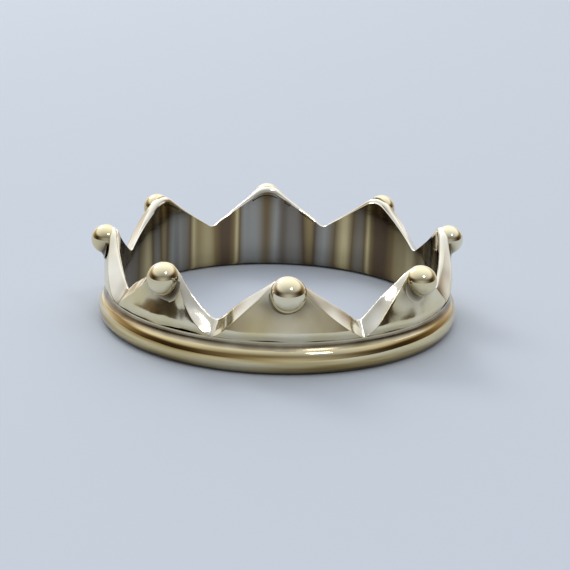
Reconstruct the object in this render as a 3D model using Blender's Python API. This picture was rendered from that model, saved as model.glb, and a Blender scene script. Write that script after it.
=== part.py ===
"""Crown ring: a polished finger ring in the shape of an eight-pointed crown.

A jeweller makes it from separate pieces that are soldered together: a band whose top edge is filed into
points, a bowed wire round its foot, and a ball of shot on the outer face of each point. The solder shows
as a small hollow fillet along the wire and under each ball.

The ring stands on its foot at the origin with +Z up the finger hole, and one point faces -Y.
Radii are measured from the Z axis, heights from the foot. Lengths are in metres.
"""

import math

import bmesh
import bpy
from mathutils import Matrix, Vector

MM = 0.001

# Finger hole and band
BORE_DIAMETER = 17.5 * MM
BORE_EDGE_ROUND = 0.35 * MM
FOOT_WALL = 0.64 * MM
BULGE_WALL = 0.86 * MM
BULGE_HEIGHT = 2.15 * MM
TIP_WALL = 0.46 * MM

# Points: each valley is filed deeper on the outside than on the inside
POINT_COUNT = 8
POINT_HEIGHT = 4.92 * MM
POINT_TIP_ROUND = 1.18 * MM
OUTER_VALLEY_HEIGHT = 1.64 * MM
OUTER_VALLEY_ROUND = 0.10 * MM
INNER_VALLEY_HEIGHT = 2.82 * MM
INNER_VALLEY_ROUND = 0.45 * MM
OUTER_EDGE_ROUND = 0.07 * MM
INNER_EDGE_LEG = 0.24 * MM

# Wire round the foot, flat on the band and fullest a little below its middle
WIRE_HEIGHT = 1.30 * MM
WIRE_PROUD = 0.44 * MM
WIRE_FULLEST_HEIGHT = 0.60 * MM

# Balls of shot, each with its back filed flat
BALL_DIAMETER = 1.60 * MM
BALL_HEIGHT = 4.18 * MM
BALL_STANDOFF = 0.05 * MM

# Solder: the film inside each joint, and the fillets that show
SOLDER_FILM = 0.03 * MM
SOLDER_EDGE = 0.02 * MM
WIRE_SOLDER_LEG = 0.22 * MM
BALL_SOLDER_LEG = 0.30 * MM
BALL_SOLDER_END_LEG = 0.08 * MM
BALL_SOLDER_SWEEP = math.radians(210)

# Facets
STEPS_PER_POINT = 16
COLLAR_STEPS = 2
FACE_STEPS = 5
ROUND_STEPS = 3
WIRE_STEPS_AROUND = 80
WIRE_STEPS_ACROSS = 9
BALL_SEGMENTS = 16
BALL_RINGS = 12
BALL_SOLDER_STEPS = 12
FILLET_STEPS = 3

# Sizes that follow from the ones above
BORE_RADIUS = BORE_DIAMETER / 2
FOOT_RADIUS = BORE_RADIUS + FOOT_WALL
BULGE_RADIUS = BORE_RADIUS + BULGE_WALL
TIP_RADIUS = BORE_RADIUS + TIP_WALL
MID_WALL_RADIUS = (BORE_RADIUS + BULGE_RADIUS) / 2
POINT_PITCH = 2 * math.pi / POINT_COUNT
NECK_HEIGHT = WIRE_HEIGHT
COLLAR_HEIGHT = OUTER_VALLEY_HEIGHT - OUTER_EDGE_ROUND
WIRE_SEAT_RADIUS = FOOT_RADIUS + SOLDER_FILM
BALL_RADIUS = BALL_DIAMETER / 2

PALE_GOLD = (0.83, 0.70, 0.47)
GOLD_ROUGHNESS = 0.08
SOLDER_GOLD = (0.80, 0.69, 0.50)
SOLDER_ROUGHNESS = 0.12
SHARP_ANGLE = math.radians(35)


def clear_scene():
    for obj in list(bpy.data.objects):
        bpy.data.objects.remove(obj, do_unlink=True)


def polished_metal(name, colour, roughness):
    material = bpy.data.materials.new(name)
    material.use_nodes = True
    shader = material.node_tree.nodes["Principled BSDF"]
    shader.inputs["Base Color"].default_value = (*colour, 1.0)
    shader.inputs["Metallic"].default_value = 1.0
    shader.inputs["Roughness"].default_value = roughness
    return material


def add_piece(name, shape, material, parent):
    """Makes a closed bmesh into a named object on the parent, with its faces outwards."""
    bmesh.ops.recalc_face_normals(shape, faces=shape.faces)
    mesh = bpy.data.meshes.new(name)
    shape.to_mesh(mesh)
    shape.free()
    mesh.shade_smooth()
    mesh.set_sharp_from_angle(angle=SHARP_ANGLE)
    mesh.materials.append(material)
    piece = bpy.data.objects.new(name, mesh)
    bpy.context.scene.collection.objects.link(piece)
    piece.parent = parent
    return piece


def loft(sections, closed):
    """A solid skin through outlines with equal counts of points: a closed ring, or a run with capped ends."""
    shape = bmesh.new()
    loops = [[shape.verts.new(point) for point in outline] for outline in sections]
    following = loops[1:] + loops[:1] if closed else loops[1:]
    for loop, next_loop in zip(loops, following):
        for corner in range(len(loop)):
            ahead = (corner + 1) % len(loop)
            shape.faces.new((loop[corner], loop[ahead], next_loop[ahead], next_loop[corner]))
    if not closed:
        shape.faces.new(loops[0])
        shape.faces.new(loops[-1])
    return shape


def turn_outline(outline, angle):
    """Stands an outline of radius and height up at an angle round the Z axis, counted from -Y."""
    turn = Matrix.Rotation(angle, 3, "Z")
    return [turn @ Vector((0, -point.x, point.y)) for point in outline]


def revolve(outline, steps):
    return loft([turn_outline(outline, 2 * math.pi * step / steps) for step in range(steps)], closed=True)


def round_corner(before, corner, after, radius):
    """The arc that rounds a corner of an outline, from the side of before to the side of after."""
    to_before = (before - corner).normalized()
    to_after = (after - corner).normalized()
    half_angle = to_before.angle(to_after) / 2
    centre = corner + (to_before + to_after).normalized() * (radius / math.sin(half_angle))
    start = corner + to_before * (radius / math.tan(half_angle)) - centre
    end = corner + to_after * (radius / math.tan(half_angle)) - centre
    sweep = math.pi - 2 * half_angle
    arc = []
    for step in range(ROUND_STEPS + 1):
        turned = sweep * step / ROUND_STEPS
        arc.append(centre + (start * math.sin(sweep - turned) + end * math.sin(turned)) / math.sin(sweep))
    return arc


def hollow_fillet(start, corner, end):
    """The hollow curve that solder takes in a corner: flat on both walls, hanging towards the corner."""
    curve = []
    for step in range(FILLET_STEPS + 1):
        share = step / FILLET_STEPS
        curve.append(start * (1 - share) ** 2 + corner * 2 * share * (1 - share) + end * share**2)
    return curve


def outer_radius(height):
    """Outer face of the band: a straight foot, a hollow neck, a bulge and a bow in to the tips."""
    if height <= NECK_HEIGHT:
        return FOOT_RADIUS
    if height <= BULGE_HEIGHT:
        rise = (height - NECK_HEIGHT) / (BULGE_HEIGHT - NECK_HEIGHT)
        return FOOT_RADIUS + (BULGE_RADIUS - FOOT_RADIUS) * math.sin(rise * math.pi / 2) ** 2
    lean = (height - BULGE_HEIGHT) / (POINT_HEIGHT - BULGE_HEIGHT)
    return TIP_RADIUS + (BULGE_RADIUS - TIP_RADIUS) * math.cos(lean * math.pi / 2)


def crest_height(from_tip, valley_height, valley_round):
    """Height of the filed edge at a distance round the band from the nearest tip.

    A straight slope touches the round of the tip and the round of the valley.
    """
    half_pitch = MID_WALL_RADIUS * POINT_PITCH / 2
    tip_centre = POINT_HEIGHT - POINT_TIP_ROUND
    valley_centre = valley_height + valley_round
    climb = tip_centre - valley_centre
    slope = math.atan2(climb, half_pitch)
    slope += math.asin((POINT_TIP_ROUND + valley_round) / math.hypot(climb, half_pitch))
    tip_end = POINT_TIP_ROUND * math.sin(slope)
    valley_start = half_pitch - valley_round * math.sin(slope)
    if from_tip <= tip_end:
        return tip_centre + math.sqrt(POINT_TIP_ROUND**2 - from_tip**2)
    if from_tip >= valley_start:
        return valley_centre - math.sqrt(valley_round**2 - (half_pitch - from_tip) ** 2)
    return tip_centre + POINT_TIP_ROUND * math.cos(slope) - (from_tip - tip_end) * math.tan(slope)


def band_section(from_tip):
    """Outline of the band in radius and height, cut at a distance round the band from a tip."""
    outer_crest = crest_height(from_tip, OUTER_VALLEY_HEIGHT, OUTER_VALLEY_ROUND)
    inner_crest = crest_height(from_tip, INNER_VALLEY_HEIGHT, INNER_VALLEY_ROUND)
    outer_top = Vector((outer_radius(outer_crest), outer_crest))
    inner_top = Vector((BORE_RADIUS, inner_crest))
    inner_foot = Vector((BORE_RADIUS, 0))
    outer_foot = Vector((FOOT_RADIUS, 0))

    outer_edge = round_corner(Vector((outer_top.x, 0)), outer_top, inner_top, OUTER_EDGE_ROUND)
    inner_angle = (outer_top - inner_top).angle(inner_foot - inner_top)
    inner_edge = round_corner(outer_top, inner_top, inner_foot, INNER_EDGE_LEG * math.tan(inner_angle / 2))
    bore_edge = round_corner(inner_top, inner_foot, outer_foot, BORE_EDGE_ROUND)
    neck_height = COLLAR_HEIGHT - NECK_HEIGHT
    face_height = outer_edge[0].y - COLLAR_HEIGHT
    heights = [NECK_HEIGHT + neck_height * step / COLLAR_STEPS for step in range(COLLAR_STEPS)]
    heights += [COLLAR_HEIGHT + face_height * step / FACE_STEPS for step in range(FACE_STEPS)]
    face = [Vector((outer_radius(height), height)) for height in heights]
    return [outer_foot, *face, *outer_edge, *inner_edge, *bore_edge]


def make_crown_band(material, parent):
    step_count = POINT_COUNT * STEPS_PER_POINT
    sections = []
    for step in range(step_count):
        steps_from_tip = step % STEPS_PER_POINT
        steps_from_tip = min(steps_from_tip, STEPS_PER_POINT - steps_from_tip)
        from_tip = MID_WALL_RADIUS * POINT_PITCH * steps_from_tip / STEPS_PER_POINT
        sections.append(turn_outline(band_section(from_tip), 2 * math.pi * step / step_count))
    return add_piece("crown_band", loft(sections, closed=True), material, parent)


def wire_top(radius):
    """Height of the wire's upper surface at a radius."""
    outward = (radius - WIRE_SEAT_RADIUS) / WIRE_PROUD
    return WIRE_FULLEST_HEIGHT + (WIRE_HEIGHT - WIRE_FULLEST_HEIGHT) * math.sqrt(1 - outward**2)


def make_base_wire(material, parent):
    outline = []
    for step in range(WIRE_STEPS_ACROSS + 1):
        lift = math.pi * (step / WIRE_STEPS_ACROSS - 0.5)
        reach = WIRE_FULLEST_HEIGHT if lift < 0 else WIRE_HEIGHT - WIRE_FULLEST_HEIGHT
        height = WIRE_FULLEST_HEIGHT + reach * math.sin(lift)
        outline.append(Vector((WIRE_SEAT_RADIUS + WIRE_PROUD * math.cos(lift), height)))
    return add_piece("base_wire", revolve(outline, WIRE_STEPS_AROUND), material, parent)


def make_wire_solder(material, parent):
    """Fillet of solder in the neck, between the wire's upper surface and the band."""
    corner = Vector((WIRE_SEAT_RADIUS, NECK_HEIGHT + SOLDER_FILM))
    high = NECK_HEIGHT + WIRE_SOLDER_LEG
    low_radius = WIRE_SEAT_RADIUS + WIRE_SOLDER_LEG
    on_band = Vector((outer_radius(high) + SOLDER_FILM, high))
    on_wire = Vector((low_radius, wire_top(low_radius) + SOLDER_FILM))
    middle_radius = WIRE_SEAT_RADIUS + WIRE_SOLDER_LEG / 2
    over_wire = Vector((middle_radius, wire_top(middle_radius) + SOLDER_FILM))
    edge_on_wire = on_wire + Vector((0, SOLDER_EDGE))
    edge_on_band = on_band + Vector((SOLDER_EDGE, 0))
    inside = corner + Vector((SOLDER_EDGE, SOLDER_EDGE))
    outline = [on_band, corner, over_wire, on_wire, *hollow_fillet(edge_on_wire, inside, edge_on_band)]
    return add_piece("wire_solder", revolve(outline, WIRE_STEPS_AROUND), material, parent)


def point_frame(number):
    """Seat of a ball on its point: a frame whose Z leaves the face squarely and whose Y runs up the face."""
    rise = BALL_RADIUS / 10
    fall = outer_radius(BALL_HEIGHT - rise) - outer_radius(BALL_HEIGHT + rise)
    lean = math.atan2(fall, 2 * rise)
    across = Vector((1, 0, 0))
    up_face = Vector((0, math.sin(lean), math.cos(lean)))
    off_face = Vector((0, -math.cos(lean), math.sin(lean)))
    frame = Matrix((across, up_face, off_face)).transposed().to_4x4()
    frame.translation = (0, -outer_radius(BALL_HEIGHT), BALL_HEIGHT)
    return Matrix.Rotation(number * POINT_PITCH, 4, "Z") @ frame


def face_below_seat(across, up_face):
    """How far the bowed face of a point lies from the plane of the ball's seat, negative towards the bore."""
    frame = point_frame(0)
    depth = 0.0
    for _ in range(4):
        spot = frame @ Vector((across, up_face, depth))
        depth -= math.hypot(spot.x, spot.y) - outer_radius(spot.z)
    return depth


def make_ball(number, material, parent):
    """Ball of shot with a flat filed on its back, set square to the face of its point."""
    shape = bmesh.new()
    bmesh.ops.create_uvsphere(shape, u_segments=BALL_SEGMENTS, v_segments=BALL_RINGS, radius=BALL_RADIUS)
    everything = shape.verts[:] + shape.edges[:] + shape.faces[:]
    filed = bmesh.ops.bisect_plane(
        shape, geom=everything, dist=SOLDER_FILM / 100,
        plane_co=(0, 0, SOLDER_FILM - BALL_STANDOFF), plane_no=(0, 0, 1), clear_inner=True,
    )
    rim = [part for part in filed["geom_cut"] if isinstance(part, bmesh.types.BMEdge)]
    bmesh.ops.contextual_create(shape, geom=rim)
    ball = add_piece(f"point_ball_{number}", shape, material, parent)
    ball.matrix_world = point_frame(number - 1) @ Matrix.Translation((0, 0, BALL_STANDOFF))
    return ball


def ball_solder_section(turned):
    """Outline of the solder under a ball, at an angle round the ball counted from straight down."""
    share = abs(turned) / (BALL_SOLDER_SWEEP / 2)
    leg = BALL_SOLDER_END_LEG + (BALL_SOLDER_LEG - BALL_SOLDER_END_LEG) * math.cos(share * math.pi / 2)
    direction = Vector((math.sin(turned), -math.cos(turned), 0))

    def at(radius, above_face):
        spot = direction * radius
        spot.z = face_below_seat(spot.x, spot.y) + above_face
        return spot

    def on_ball(above_face):
        height = above_face - BALL_STANDOFF
        return at(math.sqrt(BALL_RADIUS**2 - height**2) + SOLDER_FILM, above_face)

    low = SOLDER_FILM
    high = SOLDER_FILM + leg
    foot_radius = BALL_RADIUS + SOLDER_FILM + leg
    corner = at(BALL_RADIUS + SOLDER_FILM + SOLDER_EDGE, low + SOLDER_EDGE)
    edge_on_face = at(foot_radius, low + SOLDER_EDGE)
    edge_on_ball = on_ball(high) + direction * SOLDER_EDGE
    return [
        on_ball(high), on_ball((low + high) / 2), on_ball(low), at(foot_radius, low),
        *hollow_fillet(edge_on_face, corner, edge_on_ball),
    ]


def make_ball_solder(number, material, parent):
    """Fillet of solder round the lower part of a ball, fading out towards the tip of the point."""
    turns = [BALL_SOLDER_SWEEP * (step / BALL_SOLDER_STEPS - 0.5) for step in range(BALL_SOLDER_STEPS + 1)]
    shape = loft([ball_solder_section(turned) for turned in turns], closed=False)
    solder = add_piece(f"ball_solder_{number}", shape, material, parent)
    solder.matrix_world = point_frame(number - 1)
    return solder


def main():
    clear_scene()
    ring = bpy.data.objects.new("crown_ring", None)
    bpy.context.scene.collection.objects.link(ring)
    gold = polished_metal("polished_gold", PALE_GOLD, GOLD_ROUGHNESS)
    solder = polished_metal("polished_solder", SOLDER_GOLD, SOLDER_ROUGHNESS)
    make_crown_band(gold, ring)
    make_base_wire(gold, ring)
    make_wire_solder(solder, ring)
    for number in range(1, POINT_COUNT + 1):
        make_ball(number, gold, ring)
        make_ball_solder(number, solder, ring)


main()
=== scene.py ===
# %% [markdown]
# A crown ring in buffed gold.
# The object is a finger ring in the shape of a small crown. At the bench a band is filed into eight points,
# a bowed wire is bent round its foot, and eight balls of shot are set on the points. Solder joins the
# pieces. The frame holds each piece as a plain solid at its real size. This lesson makes each one again as
# a fine mesh in the same place, gives it a finish, and sets it on a pale floor under soft light.

# %% Load the frame
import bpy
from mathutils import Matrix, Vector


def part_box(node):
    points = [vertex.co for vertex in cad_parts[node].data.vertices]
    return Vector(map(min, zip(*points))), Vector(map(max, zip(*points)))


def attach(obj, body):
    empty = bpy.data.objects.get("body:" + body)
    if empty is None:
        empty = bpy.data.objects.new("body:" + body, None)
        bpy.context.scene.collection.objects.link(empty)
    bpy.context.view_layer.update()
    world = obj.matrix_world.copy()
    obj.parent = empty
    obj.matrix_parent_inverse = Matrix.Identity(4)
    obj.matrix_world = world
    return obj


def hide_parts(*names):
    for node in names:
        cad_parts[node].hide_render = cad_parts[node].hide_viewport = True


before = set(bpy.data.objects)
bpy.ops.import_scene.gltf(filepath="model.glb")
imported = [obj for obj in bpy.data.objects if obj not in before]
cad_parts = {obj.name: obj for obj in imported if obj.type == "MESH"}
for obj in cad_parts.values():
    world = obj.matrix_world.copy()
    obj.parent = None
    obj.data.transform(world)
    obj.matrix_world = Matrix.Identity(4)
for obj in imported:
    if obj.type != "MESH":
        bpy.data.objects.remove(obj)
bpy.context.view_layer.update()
print("nodes in the frame:", len(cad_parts))

# %% [markdown]
# Sizes that the frame gives.
# A mirror finish shows the smallest step between two pieces, so the fine pieces have to land exactly on the
# solids. What can be measured on the solids is measured here. The walls and rounds that a measurement can't
# give are named later, each where its piece is made.

# %% Measure the frame
import math

MM = 0.001


def corner_radii(node):
    """Distances of a node's corners from the axis of the finger hole."""
    return [math.hypot(corner.co.x, corner.co.y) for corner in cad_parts[node].data.vertices]


BORE_RADIUS = min(corner_radii("crown_band"))
POINT_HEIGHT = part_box("crown_band")[1].z
WIRE_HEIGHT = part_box("base_wire")[1].z
WIRE_SEAT_RADIUS = min(corner_radii("base_wire"))
WIRE_PROUD = max(corner_radii("base_wire")) - WIRE_SEAT_RADIUS
BALL_NODES = sorted(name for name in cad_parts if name.startswith("point_ball"))
BALL_SOLDER_NODES = sorted(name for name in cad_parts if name.startswith("ball_solder"))
POINT_COUNT = len(BALL_NODES)
POINT_PITCH = 2 * math.pi / POINT_COUNT
print(f"bore {2 * BORE_RADIUS / MM:.2f} mm, points {POINT_COUNT}, height {POINT_HEIGHT / MM:.2f} mm")

# %% [markdown]
# Helpers for node trees.
# Materials and Geometry Nodes are both trees of nodes, so one small function that adds a node serves both.
# An input that is another node's output becomes a link, and any other input is set as a value. Colours are
# written as they look on a screen and are turned into the linear light that shaders work in.

# %% Add nodes and colours
import bmesh
import bpy
from mathutils import Matrix, Vector


def add_node(tree, kind, inputs=None, **settings):
    """Adds a node with its settings, and links or sets the inputs that are named or numbered."""
    node = tree.nodes.new(kind)
    for name, value in settings.items():
        setattr(node, name, value)
    for socket, value in (inputs or {}).items():
        if isinstance(value, bpy.types.NodeSocket):
            tree.links.new(value, node.inputs[socket])
        else:
            node.inputs[socket].default_value = value
    return node


def linear(hex_colour):
    """Linear red, green, blue and opacity of an sRGB hex colour."""
    channels = [int(hex_colour[start:start + 2], 16) / 255 for start in (1, 3, 5)]
    light = [c / 12.92 if c <= 0.04045 else ((c + 0.055) / 1.055) ** 2.4 for c in channels]
    return (*light, 1.0)


print("a cream such as #EFE0B8 is", [round(value, 3) for value in linear("#EFE0B8")], "in linear light")

# %% [markdown]
# The gold.
# The ring is pale yellow gold: an alloy with a good share of silver, nearer to cream than to orange. A
# metal shows only tinted reflections, so its look comes from the tint, the roughness and the small
# unevenness of the surface. Every finish starts from the same alloy and differs in the marks that its tool
# left, so one function makes them all from a few named sizes. Marks are noise, drawn out along the way the
# tool went. Brown is painted where shade falls, in corners, joints and under the wire and the balls: painted
# shade, with some polish that no buff reaches. Each mesh carries an attribute for that. It lies a little
# thicker in some clouds than in others.

# %% Make a gold finish
GOLD_PALE = "#F0E7CA"
GOLD_DEEP = "#E6D8AB"
# Brown of painted shade, with some polish residue.
SHADE_AND_POLISH_BROWN = "#3A2C1E"
CLOUD_FROM = 0.34
CLOUD_TO = 0.66
CLOUD_DETAIL = 2.0
MARK_DETAIL = 4.0
MARKS_FROM = 0.3
MARKS_TO = 0.7
LEAST_SHADE_AND_RESIDUE = 0.7
RECESS_ROUGHNESS = 0.12


def gold_finish(name, tints, cloud_mm, roughness, mark_mm, mark_depth_mm, shade_and_residue, cloud_shift=0.0):
    """A gold with clouds of several tints and fine marks, each with a size in millimetres along X, Y and Z."""
    material = bpy.data.materials.new(name)
    material.use_nodes = True
    tree = material.node_tree
    shader = tree.nodes["Principled BSDF"]
    shader.inputs["Metallic"].default_value = 1.0
    place = add_node(tree, "ShaderNodeTexCoord").outputs["Object"]

    wide = add_node(tree, "ShaderNodeMapping", {
        "Vector": place, "Location": (cloud_shift, 0, 0), "Scale": [1 / (size * MM) for size in cloud_mm],
    })
    cloud = add_node(tree, "ShaderNodeTexNoise", {
        "Vector": wide.outputs[0], "Scale": 1.0, "Detail": CLOUD_DETAIL,
    })
    alloy = add_node(tree, "ShaderNodeValToRGB", {"Fac": cloud.outputs["Fac"]})
    stops = alloy.color_ramp.elements
    stops.remove(stops[1])
    for number, tint in enumerate(tints):
        position = CLOUD_FROM + (CLOUD_TO - CLOUD_FROM) * number / (len(tints) - 1)
        stop = stops.new(position) if number else stops[0]
        stop.position = position
        stop.color = linear(tint)
    # Painted shade, with some polish residue: brown where the mesh's attribute says shade falls.
    shade_and_polish = add_node(tree, "ShaderNodeAttribute", attribute_name="shade_and_polish")
    patchy = add_node(tree, "ShaderNodeMapRange", {
        "Value": cloud.outputs["Fac"], "From Min": CLOUD_FROM, "From Max": CLOUD_TO,
        "To Min": shade_and_residue * LEAST_SHADE_AND_RESIDUE, "To Max": shade_and_residue,
    })
    shade_and_polish_amount = add_node(tree, "ShaderNodeMath", {
        0: shade_and_polish.outputs["Fac"], 1: patchy.outputs[0],
    }, operation="MULTIPLY")
    shown = add_node(tree, "ShaderNodeMix", {
        "Factor": shade_and_polish_amount.outputs[0], 6: alloy.outputs["Color"], 7: linear(SHADE_AND_POLISH_BROWN),
    }, data_type="RGBA")
    tree.links.new(shown.outputs[2], shader.inputs["Base Color"])

    scale = [1 / (size * MM) for size in mark_mm]
    drawn = add_node(tree, "ShaderNodeMapping", {"Vector": place, "Scale": scale})
    marks = add_node(tree, "ShaderNodeTexNoise", {
        "Vector": drawn.outputs[0], "Scale": 1.0, "Detail": MARK_DETAIL,
    })
    rough = add_node(tree, "ShaderNodeMapRange", {
        "Value": marks.outputs["Fac"], "From Min": MARKS_FROM, "From Max": MARKS_TO,
        "To Min": roughness[0], "To Max": roughness[1],
    })
    dulled = add_node(tree, "ShaderNodeMath", {
        0: shade_and_polish_amount.outputs[0], 1: RECESS_ROUGHNESS, 2: rough.outputs[0],
    }, operation="MULTIPLY_ADD")
    tree.links.new(dulled.outputs[0], shader.inputs["Roughness"])
    bump = add_node(tree, "ShaderNodeBump", {
        "Height": marks.outputs["Fac"], "Distance": mark_depth_mm * MM,
    })
    tree.links.new(bump.outputs[0], shader.inputs["Normal"])
    return material


print("tints of the alloy:", GOLD_PALE, "to", GOLD_DEEP)

# %% [markdown]
# Six finishes.
# The outside of the points is buffed to a mirror. The slopes are filed and then burnished, and their
# paler tint is a painted highlight. The finger hole is worn, and the brown and grey streaks up its wall are
# painted reflections. The wire keeps long streaks from the plate that it was drawn through, and the shot is
# as smooth as melted metal sets. Solder has a fine grain. The real marks are a few hundredths of a
# millimetre wide, finer than the picture shows, so they are drawn about five times as wide.

# %% The finishes
EVEN = (1, 1, 1)
ROUND_THE_RING = (20, 20, 1)
UP_THE_WALL = (1, 1, 30)
GOLD_CLOUDS = (GOLD_PALE, GOLD_DEEP)
# Paler tints for the slopes: a painted highlight.
BURNISHED_PAINTED_HIGHLIGHT = ("#F6F1E3", "#EFE7D2")
# Brown and grey streaks for the wall of the finger hole: painted reflections.
PAINTED_REFLECTION_STREAKS = ("#6B5947", "#8F7A54", "#D9C797", "#7C6A4E", "#A3A199", "#655646", "#C2AA73")
REFLECTION_STREAK_SHIFT = 5.1
WIRE_STREAKS = ("#F0E6C6", "#E3D09C", "#B4975E")
SOLDER_CLOUDS = ("#EEE2C4", "#E2D2AC")


def drawn_out(width_mm, way):
    return [width_mm * share for share in way]


# Gold buffed on a wheel: a clear mirror with a soft, uneven bloom.
buffed_gold = gold_finish(
    "buffed_pale_gold", GOLD_CLOUDS, cloud_mm=drawn_out(1.8, EVEN), roughness=(0.07, 0.11),
    mark_mm=drawn_out(0.30, EVEN), mark_depth_mm=0.0008, shade_and_residue=0.8)
# Gold filed and burnished: paler than the faces as a painted highlight, with brighter and duller spots.
burnished_gold_painted_highlight = gold_finish(
    "burnished_filed_gold_painted_highlight", BURNISHED_PAINTED_HIGHLIGHT, cloud_mm=drawn_out(1.8, EVEN), roughness=(0.06, 0.13),
    mark_mm=drawn_out(0.16, EVEN), mark_depth_mm=0.0008, shade_and_residue=0.5)
# Gold against the skin: scratched finely round the hole, with brown and grey painted reflections up the wall.
worn_gold_painted_reflections = gold_finish(
    "finger_worn_gold_painted_reflections", PAINTED_REFLECTION_STREAKS, cloud_mm=drawn_out(3.6, UP_THE_WALL), roughness=(0.07, 0.13),
    mark_mm=drawn_out(0.10, ROUND_THE_RING), mark_depth_mm=0.0006, shade_and_residue=0.6, cloud_shift=REFLECTION_STREAK_SHIFT)
# Gold wire from the draw plate, buffed: long faint lines and deeper streaks run along it.
wire_gold = gold_finish(
    "drawn_wire_gold", WIRE_STREAKS, cloud_mm=drawn_out(0.45, ROUND_THE_RING), roughness=(0.03, 0.07),
    mark_mm=drawn_out(0.12, ROUND_THE_RING), mark_depth_mm=0.0006, shade_and_residue=0.8)
# Gold melted into shot: the clearest mirror on the ring.
shot_gold = gold_finish(
    "melted_shot_gold", GOLD_CLOUDS, cloud_mm=drawn_out(1.8, EVEN), roughness=(0.02, 0.05),
    mark_mm=drawn_out(0.40, EVEN), mark_depth_mm=0.0006, shade_and_residue=0.85)
# Solder that has flowed and set: a soft shine with a fine grain.
solder_gold = gold_finish(
    "flowed_gold_solder", SOLDER_CLOUDS, cloud_mm=drawn_out(1.8, EVEN), roughness=(0.10, 0.20),
    mark_mm=drawn_out(0.12, EVEN), mark_depth_mm=0.0012, shade_and_residue=1.0)
print("finishes:", [material.name for material in bpy.data.materials if material.node_tree])

# %% [markdown]
# Run a tree and keep its mesh.
# A tree of Geometry Nodes lives in a modifier. The export reads plain meshes, so each tree is run once with
# its sizes, its result is taken as a mesh, and the modifier is removed. Then the piece is hung on the body
# that it moves with, and the solids that it stands for are hidden.

# %% Keep a finished piece
SHARP_ANGLE = math.radians(40)


def grow(name, tree, sizes, start=None):
    """Runs a tree on a starting mesh, with its inputs set by name, and keeps the result as a plain mesh."""
    piece = bpy.data.objects.new(name, start or bpy.data.meshes.new(name))
    bpy.context.scene.collection.objects.link(piece)
    modifier = piece.modifiers.new(tree.name, "NODES")
    modifier.node_group = tree
    for socket in tree.interface.items_tree:
        if socket.in_out == "INPUT" and socket.name in sizes:
            modifier[socket.identifier] = sizes[socket.name]
    depsgraph = bpy.context.evaluated_depsgraph_get()
    grown = bpy.data.meshes.new_from_object(
        piece.evaluated_get(depsgraph), preserve_all_data_layers=True, depsgraph=depsgraph)
    piece.modifiers.remove(modifier)
    piece.data = grown
    return piece


def keep(piece, slot, *nodes):
    """Turns the faces outwards, hangs the piece on the root body and hides the nodes that it stands for."""
    shape = bmesh.new()
    shape.from_mesh(piece.data)
    bmesh.ops.recalc_face_normals(shape, faces=shape.faces)
    open_edges = sum(not edge.is_manifold for edge in shape.edges)
    triangles = sum(len(face.verts) - 2 for face in shape.faces)
    shape.to_mesh(piece.data)
    shape.free()
    piece.data.set_sharp_from_angle(angle=SHARP_ANGLE)
    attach(piece, "root")
    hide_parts(*nodes)
    print(f"{piece.name}: {triangles} triangles, {open_edges} open edges, for {len(nodes)} nodes")


print(f"edges that turn by more than {math.degrees(SHARP_ANGLE):.0f} degrees stay sharp")

# %% [markdown]
# Trees with named sizes.
# The points, the balls and their solder come eight times round the ring. They could be copied in a Python
# loop, but a tree does it with one number, and it can go on to treat all copies as one surface. Each tree
# starts with named inputs for its sizes and ends with a finish for each stretch of its faces.

# %% Start a tree
def new_tree(name, *inputs):
    tree = bpy.data.node_groups.new(name, "GeometryNodeTree")
    for label, kind in inputs:
        tree.interface.new_socket(label, in_out="INPUT", socket_type="NodeSocket" + kind)
    tree.interface.new_socket("Geometry", in_out="OUTPUT", socket_type="NodeSocketGeometry")
    return tree


print("trees so far:", len(bpy.data.node_groups))

# %% [markdown]
# The wave of hand work.
# A hand never leaves a surface quite true. Once the copies are joined, the surface is pushed in and out
# along its normal by a slow noise, so no two points catch the light alike. A bump in the material could do
# it too, but then the mesh itself would stay too true. An attribute, hand, says where a hand worked.

# %% Push the surface in and out
WAVE_INWARDS = 0.7
WAVE_DRAWN_UP = (1, 1, 0.7)


def add_hand_wave(tree, geometry, given):
    """Moves the surface along its normal by a slow noise, as deep as the attribute hand allows."""
    place = add_node(tree, "GeometryNodeInputPosition").outputs[0]
    drawn = add_node(tree, "ShaderNodeVectorMath", {0: place, 1: WAVE_DRAWN_UP}, operation="MULTIPLY")
    often = add_node(tree, "ShaderNodeMath", {0: 1.0, 1: given["Wave Size"]}, operation="DIVIDE")
    noise = add_node(tree, "ShaderNodeTexNoise", {
        "Vector": drawn.outputs[0], "W": given["Seed"], "Scale": often.outputs[0], "Detail": 1.0,
    }, noise_dimensions="4D")
    swing = add_node(tree, "ShaderNodeMath", {
        0: noise.outputs["Fac"], 1: WAVE_INWARDS,
    }, operation="SUBTRACT")
    deep = add_node(tree, "ShaderNodeMath", {
        0: swing.outputs[0], 1: given["Wave Depth"],
    }, operation="MULTIPLY")
    hand = add_node(tree, "GeometryNodeInputNamedAttribute", {"Name": "hand"}, data_type="FLOAT")
    push = add_node(tree, "ShaderNodeMath", {0: deep.outputs[0], 1: hand.outputs[0]}, operation="MULTIPLY")
    normal = add_node(tree, "GeometryNodeInputNormal").outputs[0]
    offset = add_node(tree, "ShaderNodeVectorMath", {
        0: normal, "Scale": push.outputs[0],
    }, operation="SCALE")
    moved = add_node(tree, "GeometryNodeSetPosition", {"Geometry": geometry, "Offset": offset.outputs[0]})
    return moved.outputs[0]


print("share of a wave that lies inwards:", WAVE_INWARDS)

# %% [markdown]
# Filing at the front.
# The front points of the real ring are filed further than the back ones: their faces lean straight in and
# their slopes lie lower. Each corner carries two lengths for that, deeper and inwards, and the tree gives
# it the share of them that fits its place round the ring.

# %% File the front points further
LEAN_FROM = 0.15
LEAN_TO = 0.60


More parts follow.
